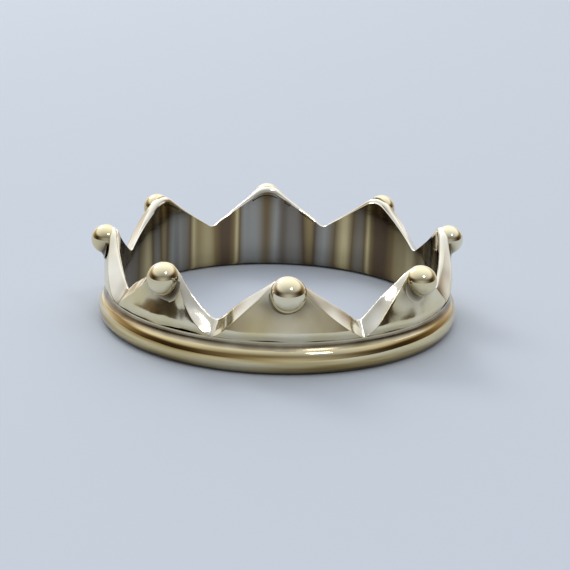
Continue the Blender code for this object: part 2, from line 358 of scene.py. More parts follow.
def add_front_filing(tree, geometry):
    """Lowers the surface by the attribute deeper and leans it in by the attribute inwards, most at the front."""
    place = add_node(tree, "GeometryNodeInputPosition").outputs[0]
    flat = add_node(tree, "ShaderNodeVectorMath", {0: place, 1: (1, 1, 0)}, operation="MULTIPLY")
    way = add_node(tree, "ShaderNodeVectorMath", {0: flat.outputs[0]}, operation="NORMALIZE")
    forward = add_node(tree, "ShaderNodeVectorMath", {
        0: way.outputs[0], 1: (0, -1, 0),
    }, operation="DOT_PRODUCT").outputs["Value"]
    low_share = add_node(tree, "ShaderNodeMapRange", {"Value": forward, "From Min": -1.0, "From Max": 1.0})
    lean_share = add_node(tree, "ShaderNodeMapRange", {
        "Value": forward, "From Min": LEAN_FROM, "From Max": LEAN_TO,
    }, interpolation_type="SMOOTHSTEP")
    deeper = add_node(tree, "GeometryNodeInputNamedAttribute", {"Name": "deeper"}, data_type="FLOAT")
    inwards = add_node(tree, "GeometryNodeInputNamedAttribute", {"Name": "inwards"}, data_type="FLOAT")
    fall = add_node(tree, "ShaderNodeMath", {
        0: low_share.outputs[0], 1: deeper.outputs[0],
    }, operation="MULTIPLY")
    lean = add_node(tree, "ShaderNodeMath", {
        0: lean_share.outputs[0], 1: inwards.outputs[0],
    }, operation="MULTIPLY")
    down = add_node(tree, "ShaderNodeCombineXYZ", {"Z": fall.outputs[0]})
    inward = add_node(tree, "ShaderNodeVectorMath", {
        0: way.outputs[0], "Scale": lean.outputs[0],
    }, operation="SCALE")
    offset = add_node(tree, "ShaderNodeVectorMath", {
        0: down.outputs[0], 1: inward.outputs[0],
    }, operation="SUBTRACT")
    return add_node(tree, "GeometryNodeSetPosition", {
        "Geometry": geometry, "Offset": offset.outputs[0],
    }).outputs[0]


print(f"the lean is full within {math.degrees(math.acos(LEAN_TO)):.0f} degrees of the front")

# %% [markdown]
# Points that were marked out by eye.
# On the real ring the front points don't stand at quite even angles, and one is lower. Each row names a tip
# or a slope by its angle from the front in degrees. Then come how many degrees round it move with it, how
# many degrees it is off its even place, and the share of its height that it lost.

# %% Turn tips and slopes off their even places
TIPS_OFF = (
    (-45.0, 22.5, 2.6, 0.0),
    (0.0, 22.5, -2.0, 0.0),
    (45.0, 22.5, 0.9, 0.06),
)
SLOPES_OFF = (
    (-33.75, 11.25, -1.2, 0.0),
    (-22.5, 22.5, -2.4, 0.0),
    (-11.25, 11.25, -1.5, 0.0),
    (33.75, 11.25, -1.6, 0.0),
)


def add_uneven_spacing(tree, geometry, spacing):
    """Turns and lowers the tips and valleys that a hand set off their even places."""
    place = add_node(tree, "GeometryNodeInputPosition").outputs[0]
    axes = add_node(tree, "ShaderNodeSeparateXYZ", {0: place}).outputs
    ahead = add_node(tree, "ShaderNodeMath", {0: axes["Y"], 1: -1.0}, operation="MULTIPLY").outputs[0]
    around = add_node(tree, "ShaderNodeMath", {0: axes["X"], 1: ahead}, operation="ARCTAN2").outputs[0]
    turn = 0.0
    kept = 1.0
    for where, reach, degrees_off, height_lost in spacing:
        apart = add_node(tree, "ShaderNodeMath", {0: around, 1: math.radians(where)}, operation="SUBTRACT")
        distance = add_node(tree, "ShaderNodeMath", {0: apart.outputs[0]}, operation="ABSOLUTE")
        near = add_node(tree, "ShaderNodeMapRange", {
            "Value": distance.outputs[0], "From Max": math.radians(reach), "To Min": 1.0, "To Max": 0.0,
        }, interpolation_type="SMOOTHSTEP").outputs[0]
        turn = add_node(tree, "ShaderNodeMath", {
            0: near, 1: math.radians(degrees_off), 2: turn,
        }, operation="MULTIPLY_ADD").outputs[0]
        kept = add_node(tree, "ShaderNodeMath", {
            0: near, 1: -height_lost, 2: kept,
        }, operation="MULTIPLY_ADD").outputs[0]
    height = add_node(tree, "ShaderNodeMath", {0: axes["Z"], 1: kept}, operation="MULTIPLY").outputs[0]
    lowered = add_node(tree, "ShaderNodeCombineXYZ", {
        "X": axes["X"], "Y": axes["Y"], "Z": height,
    }).outputs[0]
    turned_to = add_node(tree, "ShaderNodeVectorRotate", {
        "Vector": lowered, "Angle": turn,
    }, rotation_type="Z_AXIS").outputs[0]
    return add_node(tree, "GeometryNodeSetPosition", {
        "Geometry": geometry, "Position": turned_to,
    }).outputs[0]


print("tips and slopes off their even places:", len(TIPS_OFF) + len(SLOPES_OFF))

# %% [markdown]
# A finish for each stretch.
# Each face carries a number, finish. The tree compares it with 0, 1 and 2 and sets the material that it
# means.

# %% End a tree
def finish_tree(tree, geometry, finishes):
    """Shades the surface smooth and gives each face the material that its attribute, finish, numbers."""
    last = add_node(tree, "GeometryNodeSetShadeSmooth", {"Geometry": geometry})
    number = add_node(tree, "GeometryNodeInputNamedAttribute", {"Name": "finish"}, data_type="INT")
    for turn, material in enumerate(finishes):
        chosen = add_node(tree, "FunctionNodeCompare", {
            2: number.outputs[0], 3: turn,
        }, data_type="INT", operation="EQUAL")
        last = add_node(tree, "GeometryNodeSetMaterial", {
            "Geometry": last.outputs[0], "Selection": chosen.outputs[0], "Material": material,
        })
    add_node(tree, "NodeGroupOutput", {"Geometry": last.outputs[0]})


print("a face without a number takes the first finish")

# %% [markdown]
# Copies round the finger hole.
# The piece is set on points round the axis. The anchor is the spot of the piece that stays where it is when
# the front copies grow. The copies are made real and merged, and then filed, waved and spaced as one
# surface.

# %% Repeat a piece
def repeat_tree(name, spacing, *finishes):
    tree = new_tree(
        name, ("Geometry", "Geometry"), ("Copies", "Int"), ("Anchor", "Vector"), ("Front Growth", "Float"),
        ("Merge Distance", "Float"), ("Wave Size", "Float"), ("Wave Depth", "Float"), ("Seed", "Float"))
    given = add_node(tree, "NodeGroupInput").outputs
    number = add_node(tree, "GeometryNodeInputIndex").outputs[0]
    pitch = add_node(tree, "ShaderNodeMath", {0: 2 * math.pi, 1: given["Copies"]}, operation="DIVIDE")
    angle = add_node(tree, "ShaderNodeMath", {
        0: number, 1: pitch.outputs[0],
    }, operation="MULTIPLY").outputs[0]
    anchor = add_node(tree, "ShaderNodeVectorRotate", {
        "Vector": given["Anchor"], "Angle": angle,
    }, rotation_type="Z_AXIS")
    spots = add_node(tree, "GeometryNodePoints", {"Count": given["Copies"], "Position": anchor.outputs[0]})
    turn = add_node(tree, "ShaderNodeCombineXYZ", {"Z": angle})
    forward = add_node(tree, "ShaderNodeMath", {0: angle}, operation="COSINE").outputs[0]
    facing = add_node(tree, "ShaderNodeMath", {0: forward, 1: 0.0}, operation="MAXIMUM").outputs[0]
    share = add_node(tree, "ShaderNodeMath", {0: facing, 1: facing}, operation="MULTIPLY").outputs[0]
    growth = add_node(tree, "ShaderNodeMath", {
        0: share, 1: given["Front Growth"], 2: 1.0,
    }, operation="MULTIPLY_ADD")
    copies = add_node(tree, "GeometryNodeInstanceOnPoints", {
        "Points": spots.outputs[0], "Instance": given["Geometry"], "Rotation": turn.outputs[0],
        "Scale": growth.outputs[0],
    })
    real = add_node(tree, "GeometryNodeRealizeInstances", {"Geometry": copies.outputs[0]})
    joined = add_node(tree, "GeometryNodeMergeByDistance", {
        "Geometry": real.outputs[0], "Distance": given["Merge Distance"],
    })
    filed = add_front_filing(tree, joined.outputs[0])
    waved = add_hand_wave(tree, filed, given)
    finish_tree(tree, add_uneven_spacing(tree, waved, spacing), finishes)
    return tree


MERGE_DISTANCE = 0.0001 * MM
print("a repeated piece is turned by", round(math.degrees(POINT_PITCH)), "degrees each time")

# %% [markdown]
# The shape of the band.
# On the real ring the band is sheet, closed into a ring and filed. Cut through it anywhere and the outline
# is the same: a straight foot behind the wire, a hollow neck, a bulge, a lean inwards to the tip. What
# changes round the ring is how high the two filed edges stand. Outside they dip into a sharp valley, inside
# into a soft, higher one, so the slope between them twists. A formula for the two edges and one outline is
# all that the shape needs. The front points lean in straighter and have wider bevels, so a second set of
# values holds for the front.

# %% Outline of the band
FOOT_WALL = 0.64 * MM
BULGE_WALL = 0.86 * MM
BULGE_HEIGHT = 2.15 * MM
TIP_WALL = 0.46 * MM
FRONT_TIP_WALL = 0.40 * MM
FRONT_LEAN_FROM = 1.85 * MM
FRONT_EASE = 0.10
FRONT_STRAIGHT = 0.30
TIP_ROUND = 1.18 * MM
OUTER_VALLEY = (1.64 * MM, 0.10 * MM)
INNER_VALLEY = (2.97 * MM, 0.45 * MM)
INNER_VALLEY_FRONT = (2.62 * MM, 0.45 * MM)
FRONT_BEVEL = 0.45 * MM
OUTER_EDGE_ROUND = 0.09 * MM
INNER_EDGE_LEG = 0.32 * MM
BORE_EDGE_ROUND = 0.35 * MM
NECK_HEIGHT = WIRE_HEIGHT
FOOT_RADIUS = BORE_RADIUS + FOOT_WALL
BULGE_RADIUS = BORE_RADIUS + BULGE_WALL
TIP_RADIUS = BORE_RADIUS + TIP_WALL
MID_WALL_RADIUS = (BORE_RADIUS + BULGE_RADIUS) / 2
HALF_PITCH = MID_WALL_RADIUS * POINT_PITCH / 2


def outer_radius(height):
    """Outer face of the band: a straight foot, a hollow neck, a bulge and a bow in to the tips."""
    if height <= NECK_HEIGHT:
        return FOOT_RADIUS
    if height <= BULGE_HEIGHT:
        rise = (height - NECK_HEIGHT) / (BULGE_HEIGHT - NECK_HEIGHT)
        return FOOT_RADIUS + (BULGE_RADIUS - FOOT_RADIUS) * math.sin(rise * math.pi / 2) ** 2
    lean = (height - BULGE_HEIGHT) / (POINT_HEIGHT - BULGE_HEIGHT)
    return TIP_RADIUS + (BULGE_RADIUS - TIP_RADIUS) * math.cos(lean * math.pi / 2)


def lean_in(radius, height):
    """How much further in a spot of the front points lies: their faces lean straight in and end upright."""
    lean = (height - FRONT_LEAN_FROM) / (POINT_HEIGHT - FRONT_LEAN_FROM)
    if lean <= 0:
        return 0.0
    eased = min(lean, FRONT_EASE)
    straight = lean - eased + eased**2 / (2 * FRONT_EASE)
    upright = max(0.0, lean - FRONT_STRAIGHT) ** 2 / (2 * (1 - FRONT_STRAIGHT))
    drop = (BULGE_WALL - FRONT_TIP_WALL) * 2 * (straight - upright) / (1 + FRONT_STRAIGHT - FRONT_EASE)
    bowed = BULGE_RADIUS - outer_radius(max(height, BULGE_HEIGHT))
    outward = (radius - BORE_RADIUS) / (outer_radius(height) - BORE_RADIUS)
    return (drop - bowed) * outward


def slope_ends(valley):
    """Distances from the tip where the straight slope starts and ends, and its angle."""
    height, valley_round = valley
    climb = POINT_HEIGHT - TIP_ROUND - height - valley_round
    angle = math.atan2(climb, HALF_PITCH)
    angle += math.asin((TIP_ROUND + valley_round) / math.hypot(climb, HALF_PITCH))
    return TIP_ROUND * math.sin(angle), HALF_PITCH - valley_round * math.sin(angle), angle


def crest_height(from_tip, valley):
    """Height of a filed edge: the round of the tip, a straight slope, the round of the valley."""
    height, valley_round = valley
    start, end, angle = slope_ends(valley)
    tip_centre = POINT_HEIGHT - TIP_ROUND
    if from_tip <= start:
        return tip_centre + math.sqrt(TIP_ROUND**2 - from_tip**2)
    if from_tip >= end:
        return height + valley_round - math.sqrt(valley_round**2 - (HALF_PITCH - from_tip) ** 2)
    return tip_centre + TIP_ROUND * math.cos(angle) - (from_tip - start) * math.tan(angle)


print(f"slopes of {math.degrees(slope_ends(OUTER_VALLEY)[2]):.0f} and "
      f"{math.degrees(slope_ends(INNER_VALLEY)[2]):.0f} degrees outside and inside")

# %% [markdown]
# One point of the band.
# Only one point is modelled, from valley to valley. Sections stand close together where the edge turns and
# further apart along the straight slopes. Each stretch of the outline knows its finish: buffed outside,
# burnished on the slope, worn in the finger hole. Brown shade is painted in the neck, in the valleys and
# round the ball, with some polish residue.

# %% Sections of one point
BALL_RADIUS = 0.79 * MM
BALL_HEIGHT = 4.18 * MM
NECK_STEPS = 10
FACE_STEPS = 26
STRIP_STEPS = 8
WALL_STEPS = 18
EDGE_STEPS = 7
STATION_STEP = 0.11 * MM
LEAST_STATIONS = 6
BUFFED, BURNISHED, WORN = 0, 1, 2


def spread(start, end, steps):
    """Even steps from start towards end, without the end."""
    return [start + (end - start) * step / steps for step in range(steps)]


def round_corner(before, corner, after, radius):
    """The arc that rounds a corner of an outline, from the side of before to the side of after."""
    to_before = (before - corner).normalized()
    to_after = (after - corner).normalized()
    half_angle = to_before.angle(to_after) / 2
    centre = corner + (to_before + to_after).normalized() * (radius / math.sin(half_angle))
    start = corner + to_before * (radius / math.tan(half_angle)) - centre
    end = corner + to_after * (radius / math.tan(half_angle)) - centre
    sweep = math.pi - 2 * half_angle
    turns = [sweep * step / EDGE_STEPS for step in range(EDGE_STEPS + 1)]
    spokes = [start * math.sin(sweep - turn) + end * math.sin(turn) for turn in turns]
    return [centre + spoke / math.sin(sweep) for spoke in spokes]


def band_section(from_tip, inner_valley, bevel=0.0):
    """Outline in radius and height, each corner with the finish of the stretch that follows it."""
    outer_crest = crest_height(from_tip, OUTER_VALLEY) - bevel * math.sin(math.pi * from_tip / HALF_PITCH)
    outer_top = Vector((outer_radius(outer_crest), outer_crest))
    inner_top = Vector((BORE_RADIUS, crest_height(from_tip, inner_valley)))
    inner_foot = Vector((BORE_RADIUS, 0))
    outer_foot = Vector((FOOT_RADIUS, 0))
    outer_edge = round_corner(Vector((outer_top.x, 0)), outer_top, inner_top, OUTER_EDGE_ROUND)
    inner_angle = (outer_top - inner_top).angle(inner_foot - inner_top)
    inner_edge = round_corner(outer_top, inner_top, inner_foot, INNER_EDGE_LEG * math.tan(inner_angle / 2))
    bore_edge = round_corner(inner_top, inner_foot, outer_foot, BORE_EDGE_ROUND)
    collar = OUTER_VALLEY[0] - OUTER_EDGE_ROUND
    heights = [0.0] + spread(NECK_HEIGHT, collar, NECK_STEPS) + spread(collar, outer_edge[0].y, FACE_STEPS)
    face = [Vector((outer_radius(height), height)) for height in heights]
    outline = [(corner, BUFFED) for corner in face + outer_edge[:-1]]
    outline += [(corner, BURNISHED) for corner in spread(outer_edge[-1], inner_edge[0], STRIP_STEPS)]
    outline += [(corner, BURNISHED) for corner in inner_edge[:-1]]
    outline += [(corner, WORN) for corner in spread(inner_edge[-1], bore_edge[0], WALL_STEPS)]
    outline += [(corner, WORN) for corner in bore_edge]
    return outline


def stations():
    """Distances from the tip at which the point is cut, from one valley to the next."""
    ends = {0.0, HALF_PITCH, *slope_ends(OUTER_VALLEY)[:2], *slope_ends(INNER_VALLEY)[:2]}
    stops = sorted(ends)
    half = []
    for start, end in zip(stops, stops[1:]):
        half += spread(start, end, max(LEAST_STATIONS, round((end - start) / STATION_STEP)))
    half.append(HALF_PITCH)
    return [-stop for stop in reversed(half[1:])] + half


print("sections of one point:", len(stations()), "corners in each:", len(band_section(0.0, INNER_VALLEY)))

# %% [markdown]
# Where shade is painted and where a hand worked.
# Both are numbers from 0 to 1 on every corner of the mesh. The painted shade, with some polish residue,
# falls off smoothly from the neck, the valleys and the ball, and both fade out at the foot, which stays true
# so that the ring stands without rocking.

# %% Painted shade and hand work on the band
NECK_RECESS = 0.16 * MM
SEAT_RECESS = 0.55 * MM
VALLEY_RECESS = 0.16 * MM
TRUE_FOOT = 0.6 * MM
BORE_HAND = 0.15


def fade(distance, reach):
    return math.exp(-((distance / reach) ** 2))


def under_ball(height):
    """1 below the middle of the ball, fading to 0 at its top."""
    return min(1.0, max(0.0, (BALL_HEIGHT + BALL_RADIUS / 2 - height) / BALL_RADIUS))


def band_shade_and_polish(spot, seat, valley):
    # Painted shade, with some polish residue: darkest at the neck, round the lower part of the ball and in the
    # valleys.
    neck = fade(spot.z - NECK_HEIGHT, NECK_RECESS)
    seated = fade((spot - seat).length - BALL_RADIUS, SEAT_RECESS) * under_ball(spot.z)
    return max(neck, seated, fade((spot - valley).length, VALLEY_RECESS))


def band_hand(spot, finish):
    work = BORE_HAND if finish == WORN else 1.0
    return work * min(1.0, max(0.0, spot.z / TRUE_FOOT))


# How far the painted shade, with some polish residue, reaches.
print(f"polish reaches {SEAT_RECESS / MM:.2f} mm round a ball and {NECK_RECESS / MM:.2f} mm up the neck")

# %% [markdown]
# The point as a mesh.
# The sections are stood up round the finger hole and joined by faces. Each corner also keeps how far it
# would move on a front point, so that the tree can file the points differently from front to back.

# %% Join the sections
def turned(corner, angle):
    """Stands a radius and height up at an angle round the finger hole, counted from the front."""
    return Matrix.Rotation(angle, 3, "Z") @ Vector((0, -corner.x, corner.y))


def one_point():
    """Mesh of one point of the band, open at both valleys."""
    seat = turned(Vector((outer_radius(BALL_HEIGHT), BALL_HEIGHT)), 0)
    valley_corner = Vector((outer_radius(OUTER_VALLEY[0]), OUTER_VALLEY[0]))
    shape = bmesh.new()
    shade_and_polish = shape.verts.layers.float.new("shade_and_polish")
    hand = shape.verts.layers.float.new("hand")
    deeper = shape.verts.layers.float.new("deeper")
    inwards = shape.verts.layers.float.new("inwards")
    finish = shape.faces.layers.int.new("finish")
    rows = []
    for from_tip in stations():
        angle = from_tip / MID_WALL_RADIUS
        valley = turned(valley_corner, math.copysign(POINT_PITCH / 2, angle))
        outline = band_section(abs(from_tip), INNER_VALLEY)
        deep_outline = band_section(abs(from_tip), INNER_VALLEY_FRONT, FRONT_BEVEL)
        row = [shape.verts.new(turned(corner, angle)) for corner, _ in outline]
        for vert, (corner, kind), (deep_corner, _) in zip(row, outline, deep_outline):
            vert[shade_and_polish] = 0.0 if kind == WORN else band_shade_and_polish(vert.co, seat, valley)
            vert[hand] = band_hand(vert.co, kind)
            vert[deeper] = deep_corner.y - corner.y
            vert[inwards] = corner.x - deep_corner.x + lean_in(deep_corner.x, deep_corner.y)
        rows.append((row, [kind for _, kind in outline]))
    for (row, kinds), (next_row, _) in zip(rows, rows[1:]):
        for corner, kind in enumerate(kinds):
            ahead = (corner + 1) % len(row)
            face = shape.faces.new((row[corner], next_row[corner], next_row[ahead], row[ahead]))
            face[finish] = kind
    mesh = bpy.data.meshes.new("one_point")
    shape.to_mesh(mesh)
    shape.free()
    return mesh


point_mesh = one_point()
print("corners of one point:", len(point_mesh.vertices))

# %% [markdown]
# The whole band.
# The tree turns the point eight times round the finger hole, merges the valleys and gives each stretch its
# finish.

# %% Repeat the point
BAND_WAVE = {"Wave Size": 1.8 * MM, "Wave Depth": 0.20 * MM, "Seed": 4.0}

band_tree = repeat_tree("points_round_band", TIPS_OFF + SLOPES_OFF, buffed_gold, burnished_gold_painted_highlight, worn_gold_painted_reflections)
crown = grow("filed_crown_band", band_tree, {
    "Copies": POINT_COUNT, "Merge Distance": MERGE_DISTANCE, **BAND_WAVE,
}, point_mesh)
keep(crown, "polished_gold", "crown_band")

# %% [markdown]
# The wire round the foot.
# It is a wire with a bowed face and a flat back, bent round the band. It could be a profile swept along a
# circle. Here a flat grid is rolled up instead, by a rule: one side of the grid goes round the ring, the
# other round the wire's own outline. Half a turn of that outline has a negative cosine, and clipping it at
# nothing makes the flat back. The wire is fullest near its lower edge, so it reaches further up than down.
# Brown shade is painted in its upper joint, with some polish, and on its underside.

# %% Roll up the wire
WIRE_FULLEST = 0.60 * MM
WIRE_JOINT_SHARP = 10.0
WIRE_AROUND = 385
WIRE_ACROSS = 61
WIRE_WAVE = {"Wave Size": 2.5 * MM, "Wave Depth": 0.05 * MM, "Seed": 6.0}


def wire_tree(name, finish):
    tree = new_tree(
        name, ("Around", "Int"), ("Across", "Int"), ("Seat Radius", "Float"), ("Proud", "Float"),
        ("Fullest", "Float"), ("Above", "Float"), ("Merge Distance", "Float"),
        ("Wave Size", "Float"), ("Wave Depth", "Float"), ("Seed", "Float"))
    given = add_node(tree, "NodeGroupInput").outputs
    sheet = add_node(tree, "GeometryNodeMeshGrid", {
        "Size X": 2 * math.pi, "Size Y": 2 * math.pi,
        "Vertices X": given["Around"], "Vertices Y": given["Across"],
    })
    place = add_node(tree, "GeometryNodeInputPosition").outputs[0]
    flat = add_node(tree, "ShaderNodeSeparateXYZ", {0: place}).outputs
    out = add_node(tree, "ShaderNodeMath", {0: flat["Y"]}, operation="COSINE").outputs[0]
    up = add_node(tree, "ShaderNodeMath", {0: flat["Y"]}, operation="SINE").outputs[0]
    bow = add_node(tree, "ShaderNodeMath", {0: out, 1: 0.0}, operation="MAXIMUM").outputs[0]
    radius = add_node(tree, "ShaderNodeMath", {
        0: bow, 1: given["Proud"], 2: given["Seat Radius"],
    }, operation="MULTIPLY_ADD").outputs[0]
    higher = add_node(tree, "ShaderNodeMath", {0: up, 1: 0.0}, operation="MAXIMUM").outputs[0]
    lower = add_node(tree, "ShaderNodeMath", {0: up, 1: 0.0}, operation="MINIMUM").outputs[0]
    sunk = add_node(tree, "ShaderNodeMath", {
        0: lower, 1: given["Fullest"], 2: given["Fullest"],
    }, operation="MULTIPLY_ADD").outputs[0]
    height = add_node(tree, "ShaderNodeMath", {
        0: higher, 1: given["Above"], 2: sunk,
    }, operation="MULTIPLY_ADD").outputs[0]
    east = add_node(tree, "ShaderNodeMath", {0: flat["X"]}, operation="COSINE").outputs[0]
    north = add_node(tree, "ShaderNodeMath", {0: flat["X"]}, operation="SINE").outputs[0]
    x = add_node(tree, "ShaderNodeMath", {0: east, 1: radius}, operation="MULTIPLY").outputs[0]
    y = add_node(tree, "ShaderNodeMath", {0: north, 1: radius}, operation="MULTIPLY").outputs[0]
    spot = add_node(tree, "ShaderNodeCombineXYZ", {"X": x, "Y": y, "Z": height}).outputs[0]
    # Painted shade: darkest in the upper joint, with some polish there, and on the underside.
    joint = add_node(tree, "ShaderNodeMath", {0: higher, 1: WIRE_JOINT_SHARP}, operation="POWER").outputs[0]
    under = add_node(tree, "ShaderNodeMath", {0: lower, 1: -1.0}, operation="MULTIPLY").outputs[0]
    shaded_and_unbuffed = add_node(tree, "ShaderNodeMath", {0: joint, 1: under}, operation="MAXIMUM").outputs[0]
    marked = add_node(tree, "GeometryNodeStoreNamedAttribute", {
        "Geometry": sheet.outputs["Mesh"], "Name": "shade_and_polish", "Value": shaded_and_unbuffed,
    }, data_type="FLOAT", domain="POINT").outputs[0]
    bowed = add_node(tree, "GeometryNodeStoreNamedAttribute", {
        "Geometry": marked, "Name": "hand", "Value": bow,
    }, data_type="FLOAT", domain="POINT").outputs[0]
    rolled = add_node(tree, "GeometryNodeSetPosition", {"Geometry": bowed, "Position": spot}).outputs[0]
    joined = add_node(tree, "GeometryNodeMergeByDistance", {
        "Geometry": rolled, "Distance": given["Merge Distance"],
    }).outputs[0]
    real = add_node(tree, "GeometryNodeRealizeInstances", {"Geometry": joined}).outputs[0]
    finish_tree(tree, add_hand_wave(tree, real, given), [finish])
    return tree


wire = grow("bowed_foot_wire", wire_tree("wire_round_foot", wire_gold), {
    "Around": WIRE_AROUND, "Across": WIRE_ACROSS, "Seat Radius": WIRE_SEAT_RADIUS, "Proud": WIRE_PROUD,
    "Fullest": WIRE_FULLEST, "Above": WIRE_HEIGHT - WIRE_FULLEST, "Merge Distance": MERGE_DISTANCE,
    **WIRE_WAVE,
})
keep(wire, "polished_gold", "base_wire")

# %% [markdown]
# Solder in the neck.
# Melted solder is drawn into the corner between wire and band and sets with a hollow face. Its outline is a
# curve that leaves both walls flat and hangs towards the corner, turned once round the ring.

# %% Turn the solder round the neck
SOLDER_TUCK = 0.01 * MM
WIRE_SOLDER_LEG = 0.22 * MM
BAND_SOLDER_LEG = 0.36 * MM
NECK_SHADE = 0.75
FILLET_STEPS = 12
TURN_STEPS = 256


def hollow_fillet(start, corner, end):
    """The hollow curve of solder in a corner."""
    shares = [step / FILLET_STEPS for step in range(FILLET_STEPS + 1)]
    return [start * (1 - s) ** 2 + corner * 2 * s * (1 - s) + end * s**2 for s in shares]


def wire_top(radius):
    """Height of the wire's upper surface at a radius."""
    outward = (radius - WIRE_SEAT_RADIUS) / WIRE_PROUD
    return WIRE_FULLEST + (WIRE_HEIGHT - WIRE_FULLEST) * math.sqrt(1 - outward**2)


def meeting(start, start_way, end, end_way):
    """Where two lines of an outline cross, each given by a spot and a way."""
    return start + start_way * ((end - start).cross(end_way) / start_way.cross(end_way))


def neck_outline():
    """A hollow curve that leaves wire and band along their surfaces, and two corners inside the joint."""
    low_radius = WIRE_SEAT_RADIUS + WIRE_SOLDER_LEG
    high = NECK_HEIGHT + BAND_SOLDER_LEG
    on_wire = Vector((low_radius, wire_top(low_radius) - SOLDER_TUCK))
    on_band = Vector((outer_radius(high) - SOLDER_TUCK, high))
    up_wire = Vector((-SOLDER_TUCK, wire_top(low_radius - SOLDER_TUCK) - wire_top(low_radius)))
    down_band = Vector((outer_radius(high - SOLDER_TUCK) - outer_radius(high), -SOLDER_TUCK))
    curve = hollow_fillet(on_wire, meeting(on_wire, up_wire, on_band, down_band), on_band)
    inside = FOOT_RADIUS - SOLDER_TUCK
    return [Vector((inside, NECK_HEIGHT)), Vector((inside, NECK_HEIGHT - WIRE_SOLDER_LEG)), *curve]


def skin(sections, closed, shade, name):
    """Closed mesh through outlines of two hidden corners and a fillet, with brown shade painted in the fillet.
    """
    shape = bmesh.new()
    shade_and_polish = shape.verts.layers.float.new("shade_and_polish")
    hand = shape.verts.layers.float.new("hand")
    rows = [[shape.verts.new(corner) for corner in section] for section in sections]
    following = rows[1:] + rows[:1] if closed else rows[1:]
    for row, next_row in zip(rows, following):
        for corner in range(len(row)):
            ahead = (corner + 1) % len(row)
            shape.faces.new((row[corner], next_row[corner], next_row[ahead], row[ahead]))
    if not closed:
        shape.faces.new(rows[0])
        shape.faces.new(rows[-1])
    # Painted shade, with some polish residue, darkest in the middle of the fillet.
    for row in rows:
        for step, vert in enumerate(row[-FILLET_STEPS - 1:]):
            vert[shade_and_polish] = shade * math.sqrt(math.sin(math.pi * step / FILLET_STEPS))
            vert[hand] = 1.0
    bmesh.ops.recalc_face_normals(shape, faces=shape.faces)
    mesh = bpy.data.meshes.new(name)
    shape.to_mesh(mesh)
    shape.free()
    return mesh


outline = neck_outline()
turns = [2 * math.pi * step / TURN_STEPS for step in range(TURN_STEPS)]
sections = [[turned(corner, turn) for corner in outline] for turn in turns]
neck_mesh = skin(sections, True, NECK_SHADE, "neck_solder")
neck_mesh.shade_smooth()
neck_mesh.materials.append(solder_gold)
neck_solder = bpy.data.objects.new("neck_solder", neck_mesh)
bpy.context.scene.collection.objects.link(neck_solder)
keep(neck_solder, "gold_solder", "wire_solder")

# %% [markdown]
# The balls of shot.
# A scrap of gold melted on charcoal draws itself up into a ball. Its back is filed flat and it is soldered
# to the face of a point, square to it. One ball is turned from its outline, stood on the front point and
# repeated. The same slow wave as on the band keeps it from being too true a sphere. The balls are let into
# the faces a little, and those at the front are larger, as on the real ring.

# %% Seat a ball and repeat it
BALL_STANDOFF = 0.05 * MM
BALL_LET_IN = 0.20 * MM
BALL_GROWTH = 0.15
BALL_RECESS = 0.30 * MM
SEAT_PROBE = BALL_RADIUS / 10
BALL_WAVE = {"Wave Size": 1.1 * MM, "Wave Depth": 0.012 * MM, "Seed": 9.0}
BALL_AROUND = 64
BALL_RINGS = 44


def seat_frame():
    """Seat of the front ball: Z leaves the face of the point squarely, Y runs up the face."""
    fall = outer_radius(BALL_HEIGHT - SEAT_PROBE) - outer_radius(BALL_HEIGHT + SEAT_PROBE)
    lean = math.atan2(fall, 2 * SEAT_PROBE)
    across = Vector((1, 0, 0))
    up_face = Vector((0, math.sin(lean), math.cos(lean)))
    off_face = Vector((0, -math.cos(lean), math.sin(lean)))
    frame_of_seat = Matrix((across, up_face, off_face)).transposed().to_4x4()
    frame_of_seat.translation = (0, -outer_radius(BALL_HEIGHT), BALL_HEIGHT)
    return frame_of_seat


def one_ball():
    """A ball with a flat filed on its back, turned round the line that leaves its seat."""
    back = -BALL_LET_IN
    shape = bmesh.new()
    bmesh.ops.create_uvsphere(shape, u_segments=BALL_AROUND, v_segments=BALL_RINGS, radius=BALL_RADIUS)
    bmesh.ops.bisect_plane(
        shape, geom=shape.verts[:] + shape.edges[:] + shape.faces[:], dist=MERGE_DISTANCE,
        plane_co=(0, 0, back), plane_no=(0, 0, 1), clear_inner=True)
    rim = [edge for edge in shape.edges if edge.is_boundary]
    bmesh.ops.contextual_create(shape, geom=rim)
    shade_and_polish = shape.verts.layers.float.new("shade_and_polish")
    hand = shape.verts.layers.float.new("hand")
    # Painted shade, with some polish residue, on the ball's lower back where it meets the face.
    for vert in shape.verts:
        vert[shade_and_polish] = fade(vert.co.z + BALL_STANDOFF, BALL_RECESS) * under_ball(BALL_HEIGHT + vert.co.y)
        vert[hand] = 1.0
    bmesh.ops.transform(
        shape, matrix=seat_frame() @ Matrix.Translation((0, 0, BALL_STANDOFF)), verts=shape.verts)
    mesh = bpy.data.meshes.new("one_ball")
    shape.to_mesh(mesh)
    shape.free()
    return mesh


ball_centre = seat_frame() @ Vector((0, 0, BALL_STANDOFF))
ball_anchor = ball_centre + Vector((0, -BALL_RADIUS, BALL_RADIUS))
ball_mesh = one_ball()
ball_mesh.transform(Matrix.Translation(-ball_anchor))
balls = grow("balls_of_shot", repeat_tree("balls_round_band", TIPS_OFF, shot_gold), {
    "Copies": POINT_COUNT, "Anchor": ball_anchor, "Front Growth": BALL_GROWTH,
    "Merge Distance": MERGE_DISTANCE,
    **BALL_WAVE,
}, ball_mesh)
keep(balls, "polished_gold", *BALL_NODES)

# %% [markdown]
# Solder under the balls.
# The fillet is widest straight below the ball and fades out towards the tip of the point. Its sections
# stand round the ball, each with one foot on the bowed face and one on the ball.

